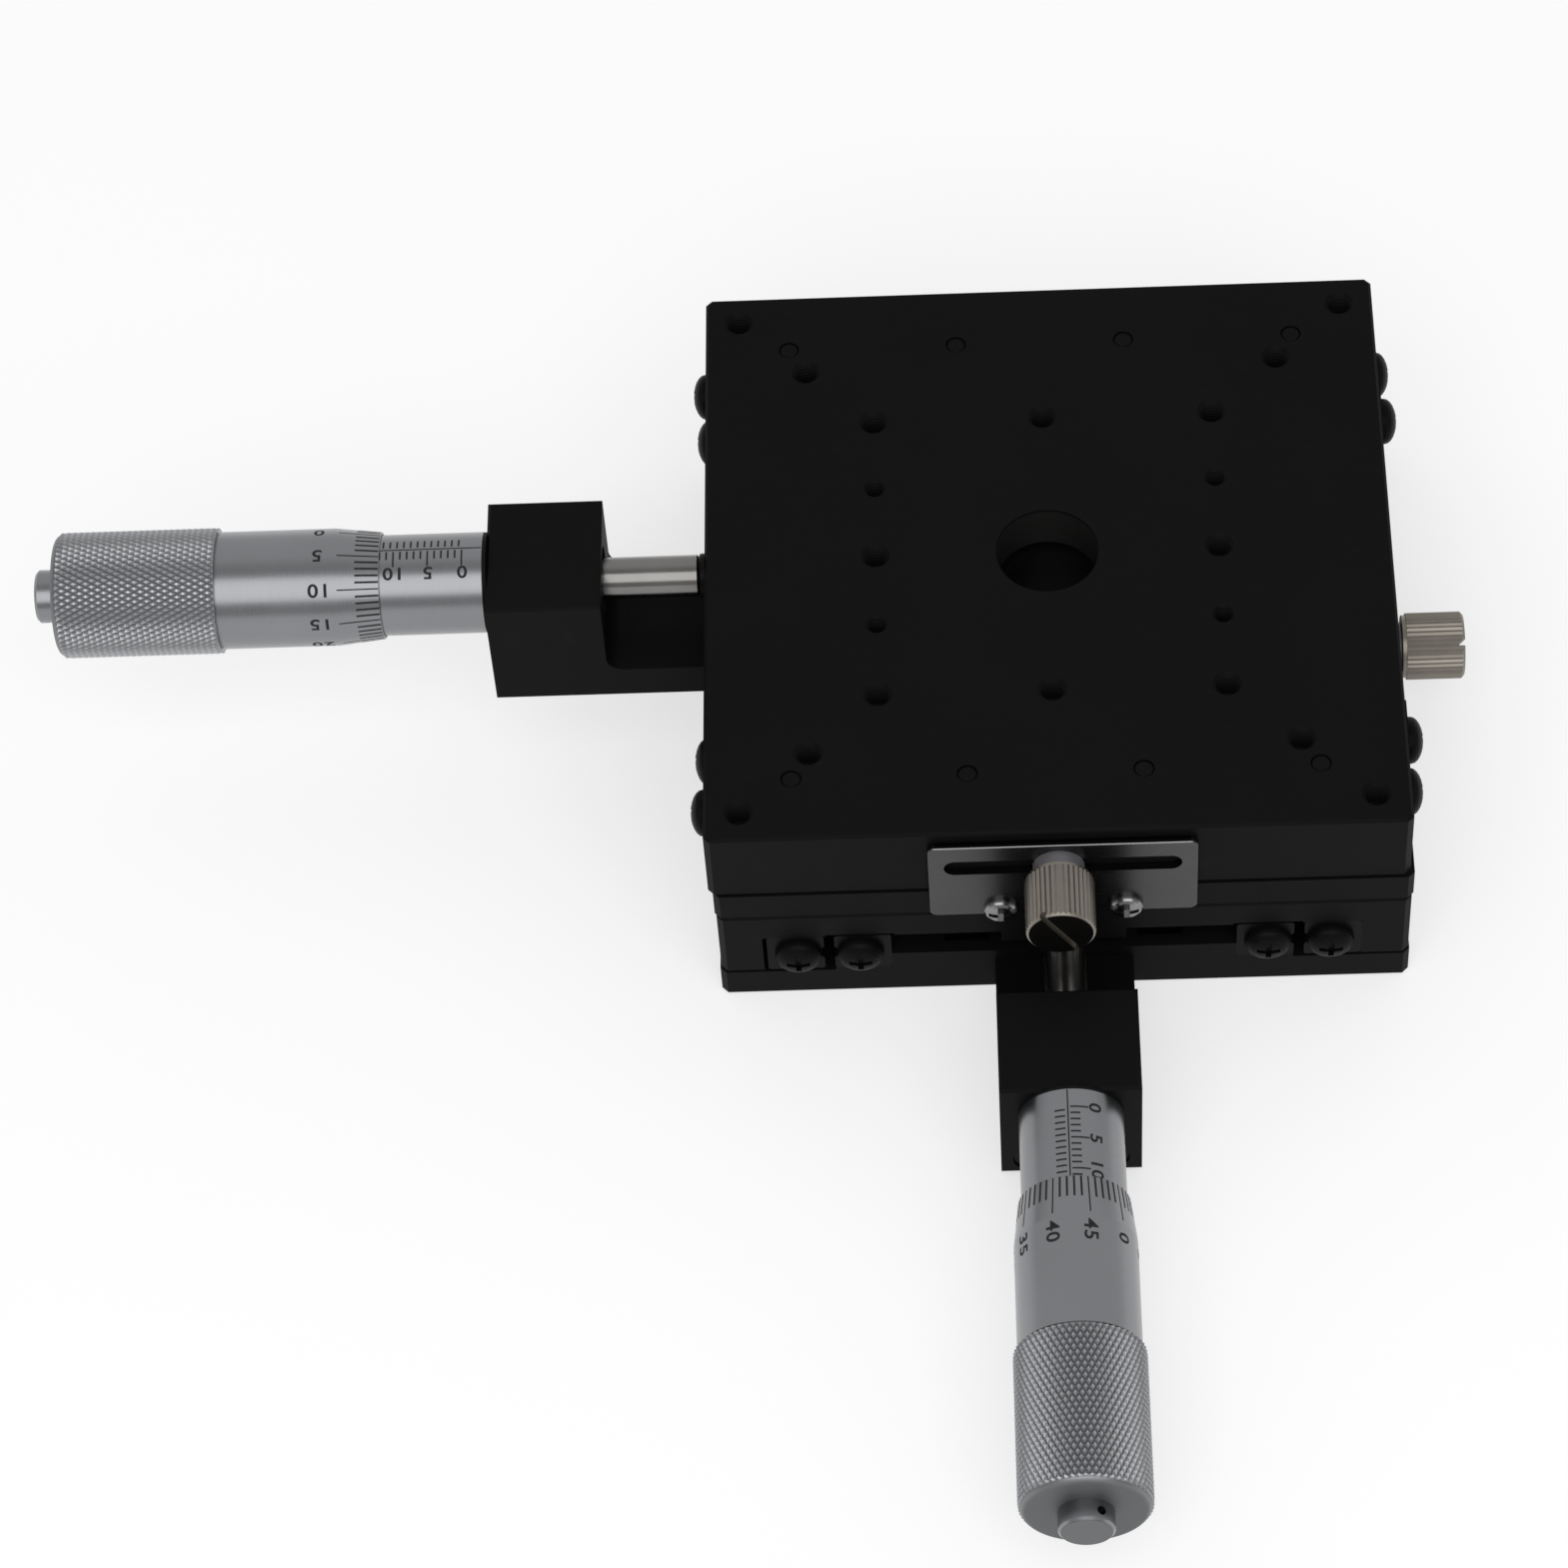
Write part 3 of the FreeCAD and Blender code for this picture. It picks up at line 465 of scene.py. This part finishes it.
class Number:
    """A number socket of a finish, so that sums of sockets read as plain sums."""

    def __init__(self, finish, socket):
        self.finish = finish
        self.socket = socket

    def _math(self, operation, a, b):
        return self.finish.node("ShaderNodeMath", {"operation": operation}, {0: a, 1: b})

    def __add__(self, other):
        return self._math("ADD", self, other)

    def __sub__(self, other):
        return self._math("SUBTRACT", self, other)

    def __rsub__(self, other):
        return self._math("SUBTRACT", other, self)

    def __mul__(self, other):
        return self._math("MULTIPLY", self, other)

    def __truediv__(self, other):
        return self._math("DIVIDE", self, other)

    __radd__ = __add__
    __rmul__ = __mul__


def colour(value):
    return value if isinstance(value, Number) else tuple(value) + (1.0,)


def swing(noise, amount):
    """Noise about its middle of one half, in all as wide as amount."""
    return (noise - 0.5) * amount


class Finish:
    """The nodes of a material, or of the walls' light, under construction."""

    def __init__(self, owner, coordinates="Object"):
        self.owner = owner
        owner.use_nodes = True
        self.tree = owner.node_tree
        self.tree.nodes.clear()
        self.place = self.node("ShaderNodeTexCoord", {}, {}, coordinates)

    def node(self, kind, settings, sockets, output=0):
        made = self.tree.nodes.new(kind)
        for key, value in settings.items():
            setattr(made, key, value)
        for key, value in sockets.items():
            if isinstance(value, Number):
                self.tree.links.new(value.socket, made.inputs[key])
            else:
                made.inputs[key].default_value = value
        return Number(self, made.outputs[output]) if made.outputs else made

    def limited(self, value):
        """A value held between 0 and 1."""
        return self.node("ShaderNodeClamp", {}, {"Value": value, "Min": 0.0, "Max": 1.0})

    def grain(self, size, stretch=EVEN, detail=3.0, rough=0.5):
        """Noise with blobs about size millimetres wide; stretch squeezes it along each axis."""
        spread = self.node("ShaderNodeMapping", {"vector_type": "POINT"},
                           {"Vector": self.place, "Scale": stretch})
        sockets = {"Vector": spread, "Scale": 1 / (size * MM), "Detail": detail,
                   "Roughness": rough}
        return self.node("ShaderNodeTexNoise", {"noise_dimensions": "3D"}, sockets)

    def patches(self, grain, level, contrast):
        """Scattered patches, where a grain rises past level."""
        return self.limited((grain - level) * contrast)

    def blend(self, share, first, second):
        """Two tones; 0, 6 and 7 are the Mix node's factor and colours, 2 its colour result."""
        return self.node("ShaderNodeMix", {"data_type": "RGBA", "clamp_factor": True},
                         {0: share, 6: colour(first), 7: colour(second)}, 2)

    def axis(self, letter):
        """Place along one axis."""
        return self.node("ShaderNodeSeparateXYZ", {}, {"Vector": self.place}, letter)

    def beyond(self, letter, level, way, over):
        """1 where the place along an axis lies past level, going over in over millimetres."""
        return self.limited((self.axis(letter) - level) * (way / (over * MM)))

    def distance(self, centre, flat):
        """Distance from a line through centre; flat is 0 on the line's own axis, else 1."""
        moved = self.node("ShaderNodeVectorMath", {"operation": "SUBTRACT"},
                          {0: self.place, 1: centre})
        pressed = self.node("ShaderNodeVectorMath", {"operation": "MULTIPLY"},
                            {0: moved, 1: flat})
        return self.node("ShaderNodeVectorMath", {"operation": "LENGTH"}, {0: pressed}, "Value")

    def bump(self, height, strength, depth):
        """Bump of depth millimetres."""
        return self.node("ShaderNodeBump", {},
                         {"Strength": strength, "Distance": depth * MM, "Height": height})

    def surface(self, **sockets):
        """Closes the finish; the surface's sockets are named in small letters."""
        names = {key.replace("_", " ").title().replace("Ior", "IOR"): value
                 for key, value in sockets.items()}
        shader = self.node("ShaderNodeBsdfPrincipled", {}, names)
        self.node("ShaderNodeOutputMaterial", {}, {"Surface": shader})
        return self.owner


def new_finish(name):
    return Finish(bpy.data.materials.new(name))


def hole_walls(f, table):
    """Where a table's holes are painted lighter: a painted glint in lines on the threads, an even
    painted lightening of the shade in the middle aperture, and none on the outer faces."""
    low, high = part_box(table)
    inside = f.beyond("Z", high.z - HOLE_START * MM, -1, over=0.2)
    for letter, near, far in (("X", low.x, high.x), ("Y", low.y, high.y)):
        inside = (inside * f.beyond(letter, near + HOLE_MARGIN * MM, 1, over=0.1)
                  * f.beyond(letter, far - HOLE_MARGIN * MM, -1, over=0.1))
    from_middle = f.distance((low + high) / 2, (1, 1, 0))
    threaded = f.limited((from_middle - APERTURE_R * MM) / MM)
    thread_glint_lines = f.node("ShaderNodeMath", {"operation": "SINE"},
                   {0: f.axis("Z") * (TURN / (HOLE_PITCH * MM))})
    return inside * (0.55 + threaded * thread_glint_lines * 0.45)


def black_anodised(name, drilled=None):
    """Fine matt black oxide layer with faint handling marks; in a drilled table's holes, a
    painted glint.
    """
    f = new_finish(name)
    cloud = f.grain(size=22.0, detail=4.0)
    speck = f.grain(size=0.25, detail=2.0)
    rubbed = f.patches(f.grain(size=4.0, stretch=(1, 3, 1), detail=5.0, rough=0.65),
                       level=0.58, contrast=3.0)
    tone = f.blend(cloud, *ANODISED)
    tone = f.blend(rubbed * 0.5, tone, ANODISED_RUBBED)
    if drilled:
        # inside the holes the tone is painted lighter: a painted glint on the threads and a
        # painted lift of the holes' shade
        tone = f.blend(hole_walls(f, drilled), tone, HOLE_PAINTED_GLINT)
    roughness = 0.44 + swing(cloud, 0.14) - rubbed * 0.07 + speck * 0.06
    return f.surface(base_color=tone, roughness=f.limited(roughness), specular_ior_level=0.04,
                     normal=f.bump(speck, strength=0.3, depth=0.010))


def steel_black(name, tones, rough):
    """Oiled black oxide on steel, rubbed a little brighter here and there."""
    f = new_finish(name)
    cloud = f.grain(size=1.6, detail=4.0, rough=0.6)
    fine = f.grain(size=0.2, detail=2.0)
    rubbed = f.patches(f.grain(size=0.9, detail=5.0, rough=0.7), level=0.62, contrast=5.0)
    tone = f.blend(cloud, *tones)
    tone = f.blend(rubbed * 0.2, tone, BLACK_RUBBED)
    roughness = rough + swing(cloud, 0.15) - rubbed * 0.1
    return f.surface(base_color=tone, roughness=f.limited(roughness), specular_ior_level=0.06,
                     normal=f.bump(fine, strength=0.2, depth=0.010))


def chrome_layer(name, unit):
    """Satin chrome with fine turning lines round the micrometer's axis: its finish, its
    lines, its tone and its roughness."""
    f = new_finish(name)
    lines = f.grain(size=0.12, stretch=TURNED_LINES[unit], detail=2.0)
    cloud = f.grain(size=9.0, detail=3.0)
    roughness = 0.29 + swing(cloud, 0.06) + swing(lines, 0.08)
    return f, lines, f.blend(cloud, *CHROME), roughness


def satin_chrome(unit):
    """The chrome of the sleeve and the thimble's cap, which is darker on its end face."""
    f, lines, tone, roughness = chrome_layer("satin chrome " + unit, unit)
    cap_end = getattr(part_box(unit + "_thimble_cap")[0], unit)
    cap_face = f.beyond(unit.upper(), cap_end + 0.1 * MM, -1, over=0.05)
    return f.surface(base_color=f.blend(cap_face, tone, CHROME_CAP_FACE), metallic=1.0,
                     roughness=f.limited(roughness + cap_face * 0.1),
                     normal=f.bump(lines, strength=0.08, depth=0.006))


def knurled_chrome(unit):
    """The same chrome on the thimble, with a painted highlight on the tips of the knurl, duller
    and with painted shade in its grooves, and darker and duller on the end face."""
    f, lines, tone, roughness = chrome_layer("knurled satin chrome " + unit, unit)
    height = HEAD_Z * MM + (UNIT_RISE if unit == "x" else 0)
    from_axis = f.distance((0, 0, height), (1, 0, 1) if unit == "y" else (0, 1, 1))
    barrel_end = THIMBLE_EDGE[unit] - BEVEL_L - BARREL_L
    knurled = f.beyond(unit.upper(), barrel_end * MM, -1, over=0.05)
    end_face = f.beyond(unit.upper(), (barrel_end - GRIP_L + 0.3) * MM, -1, over=0.3)
    groove_shade_and_dullness = f.limited((GRIP_R * MM - from_axis) / (KNURL_DEPTH * MM)) * knurled
    # the knurled grip is painted bright as a highlight, and its grooves painted dark as shade
    tone = f.blend(knurled, tone, CHROME_KNURL_PAINTED_HIGHLIGHT)
    tone = f.blend(groove_shade_and_dullness * 0.9, tone, CHROME_GROOVE_PAINTED_SHADE)
    tone = f.blend(end_face, tone, CHROME_END_FACE)
    return f.surface(base_color=tone, metallic=1.0,
                     roughness=f.limited(roughness + groove_shade_and_dullness * 0.15 + end_face * 0.15),
                     normal=f.bump(lines, strength=0.08, depth=0.006))


def metal(name, tones, rough, line_size, stretch=EVEN, bump=0.1, cloud_size=6.0):
    """Plain metal with fine tool lines."""
    f = new_finish(name)
    lines = f.grain(size=line_size, stretch=stretch, detail=3.0)
    cloud = f.grain(size=cloud_size, detail=4.0, rough=0.6)
    roughness = rough + swing(cloud, 0.10) + swing(lines, 0.12)
    return f.surface(base_color=f.blend(cloud, *tones), metallic=1.0,
                     roughness=f.limited(roughness),
                     normal=f.bump(lines, strength=bump, depth=0.010))


def outer_face(f, unit, piece, depth, over):
    """1 on the outer face of a piece of the lock, which faces +X on the lower unit and -Y on
    the upper one."""
    low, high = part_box(unit + "_" + piece)
    if unit == "y":
        return f.beyond("X", high.x - depth * MM, 1, over)
    return f.beyond("Y", low.y + depth * MM, -1, over)


def lock_plate_steel(unit):
    """Dull stainless strip, drawn lengthwise, with painted shade on its top and a painted
    highlight along its front edge."""
    f = new_finish("stainless lock plate " + unit)
    lines = f.grain(size=0.10, stretch=DRAWN_LINES[unit], detail=3.0)
    cloud = f.grain(size=8.0, detail=4.0, rough=0.6)
    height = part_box(unit + "_lock_plate")[1].z
    # painted shade along the plate's top face, and a painted highlight along its front edge
    top = f.beyond("Z", height - 0.03 * MM, 1, over=0.02)
    rim = (f.beyond("Z", height - 0.20 * MM, 1, over=0.06)
           * outer_face(f, unit, "lock_plate", depth=0.15, over=0.1))
    tone = f.blend(cloud, *PLATE)
    tone = f.blend(top, tone, PLATE_TOP_PAINTED_SHADE)
    tone = f.blend(rim, tone, PLATE_EDGE_PAINTED_HIGHLIGHT)
    roughness = 0.27 + swing(cloud, 0.10) + swing(lines, 0.10)
    return f.surface(base_color=tone, metallic=1.0, roughness=f.limited(roughness),
                     normal=f.bump(lines, strength=0.06, depth=0.006))


def knob_nickel(unit):
    """Warm satin nickel, dull and dark on the turned end face between its bright rim and slot."""
    f = new_finish("satin nickel " + unit)
    cloud = f.grain(size=2.0, detail=4.0, rough=0.6)
    fine = f.grain(size=0.15, detail=2.0)
    end = outer_face(f, unit, "lock_knob", depth=0.06, over=0.03)
    tone = f.blend(cloud, *NICKEL)
    tone = f.blend(end, tone, NICKEL_END)
    return f.surface(base_color=tone, metallic=1.0,
                     roughness=f.limited(0.36 + swing(cloud, 0.10) + fine * 0.05),
                     normal=f.bump(fine, strength=0.08, depth=0.006))


def washer_grey():
    """Dull lavender-grey coating."""
    f = new_finish("dull grey washer")
    cloud = f.grain(size=2.0, detail=4.0, rough=0.6)
    fine = f.grain(size=0.15, detail=2.0)
    return f.surface(base_color=f.blend(cloud, *WASHER), metallic=0.3,
                     roughness=f.limited(0.42 + swing(cloud, 0.1)),
                     normal=f.bump(fine, strength=0.1, depth=0.006))


def scale_ink():
    """Dark fill of the etched lines and numbers."""
    f = new_finish("scale ink")
    worn = f.grain(size=0.35, detail=4.0, rough=0.7)
    return f.surface(base_color=f.blend(worn, *INK), roughness=f.limited(0.60 + worn * 0.2),
                     specular_ior_level=0.15)


def pale_floor():
    """White paper that glows a little, so that it stays pale in the stage's shade."""
    f = new_finish("pale studio floor")
    paper = f.grain(size=180.0, detail=2.0)
    return f.surface(base_color=f.blend(paper, *PAPER), roughness=0.9, specular_ior_level=0.1,
                     emission_color=colour(WHITE), emission_strength=FLOOR_GLOW)


def dress(node, material):
    """Gives a CAD node one finish."""
    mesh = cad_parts[node].data
    mesh.materials.clear()
    mesh.materials.append(material)


anodised = black_anodised("black anodised aluminium")
ink_fill = scale_ink()
screw_black = steel_black("black oxide screws", BLACK_SCREWS, 0.42)
rail_black = steel_black("blackened rail steel", BLACK_RAILS, 0.36)
ring_black = steel_black("black seat ring", BLACK_RING, 0.55)
roller_steel = metal("polished roller steel", ROLLER, 0.12, line_size=0.3, bump=0.03)
cage_sheet = metal("cage brass sheet", BRASS, 0.30, line_size=0.2)
nut_metal = metal("turned nut brass", BRASS, 0.28, line_size=0.15)
plated = metal("bright plated screws", PLATED, 0.22, line_size=0.2, bump=0.08, cloud_size=1.5)
washer = washer_grey()
spring_wire = metal("drawn spring wire", SPRING_WIRE, 0.30, line_size=0.3, bump=0.05)

dress("unit_join_screws", screw_black)
for unit in ("y", "x"):
    drilled = black_anodised("black anodised table " + unit, unit + "_table")
    chrome = satin_chrome(unit)
    knurled = knurled_chrome(unit)
    ground = metal("ground steel " + unit, GROUND, 0.20, line_size=0.08,
                   stretch=GROUND_LINES[unit], bump=0.7)
    finishes = {
        "base_plate": anodised,
        "table": drilled,
        "inner_rails": rail_black,
        "outer_rails": rail_black,
        "roller_cages": cage_sheet,
        "rollers": roller_steel,
        "inner_rail_bolts": screw_black,
        "outer_rail_bolts": anodised,
        "inner_end_screws": screw_black,
        "outer_end_screws": screw_black,
        "preload_screws": screw_black,
        "bracket": anodised,
        "bracket_screws": screw_black,
        "clamp_screw": screw_black,
        "seat_ring": ring_black,
        "sleeve": chrome,
        "spindle_nut": nut_metal,
        "spindle": ground,
        "thimble": knurled,
        "thimble_cap": chrome,
        "contact_button": rail_black,
        "lock_plate": lock_plate_steel(unit),
        "lock_plate_screws": plated,
        "lock_washer": washer,
        "lock_knob": knob_nickel(unit),
        "return_springs": spring_wire,
        "base_spring_posts": ground,
        "table_spring_posts": ground,
    }
    for node, material in finishes.items():
        dress(unit + "_" + node, material)
    knurled_thimble(unit, knurled)
    sleeve_scale(unit, ink_fill)
    thimble_scale(unit, ink_fill)
    wound_springs(unit, spring_wire)


def studio_floor():
    bm = bmesh.new()
    bmesh.ops.create_grid(bm, x_segments=1, y_segments=1, size=FLOOR_HALF)
    bmesh.ops.translate(bm, verts=bm.verts, vec=(0, 0, -FLOOR_DROP))
    mesh = bpy.data.meshes.new("floor")
    bm.to_mesh(mesh)
    bm.free()
    mesh.materials.append(pale_floor())
    linked("floor", mesh)


def softbox(name, place, wide, deep, radiance):
    """Softbox that faces the stage; its radiance is that of a white sheet at 1."""
    light = bpy.data.lights.new(name, "AREA")
    light.shape = "RECTANGLE"
    light.size = wide
    light.size_y = deep
    light.energy = radiance * math.pi * wide * deep
    lamp = linked(name, light)
    lamp.location = place
    lamp.rotation_euler = (-Vector(place)).to_track_quat("-Z", "Y").to_euler()


def studio_walls():
    """Even grey all round, a little lighter behind the stage."""
    f = Finish(bpy.data.worlds.new("studio walls"), "Generated")
    behind = f.limited((f.axis("Y") - WALL_BEHIND_FROM) / WALL_BEHIND_OVER)
    strength = behind * WALL_LIGHT_BEHIND + WALL_LIGHT
    light = f.node("ShaderNodeBackground", {}, {"Color": colour(WHITE), "Strength": strength})
    f.node("ShaderNodeOutputWorld", {}, {"Surface": light})
    return f.owner


def photo_camera():
    """Camera where the photo was taken from, looking down on the stage from the front."""
    lens = bpy.data.cameras.new("camera")
    lens.sensor_width = SENSOR_WIDTH
    lens.lens = FOCAL_LENGTH
    lens.clip_start = CLIP_NEAR
    lens.clip_end = CLIP_FAR
    camera = linked("camera", lens)
    up = CAMERA_RIGHT.cross(CAMERA_AHEAD)
    turned = Matrix((CAMERA_RIGHT, up, -CAMERA_AHEAD)).transposed().to_4x4()
    camera.matrix_world = Matrix.Translation(CAMERA_PLACE) @ turned
    return camera


studio_floor()
softbox("front softbox", SOFTBOX_PLACE, SOFTBOX_WIDE, SOFTBOX_DEEP, SOFTBOX_RADIANCE)
bpy.context.scene.view_settings.view_transform = "Standard"
bpy.context.scene.world = studio_walls()
bpy.context.scene.camera = photo_camera()
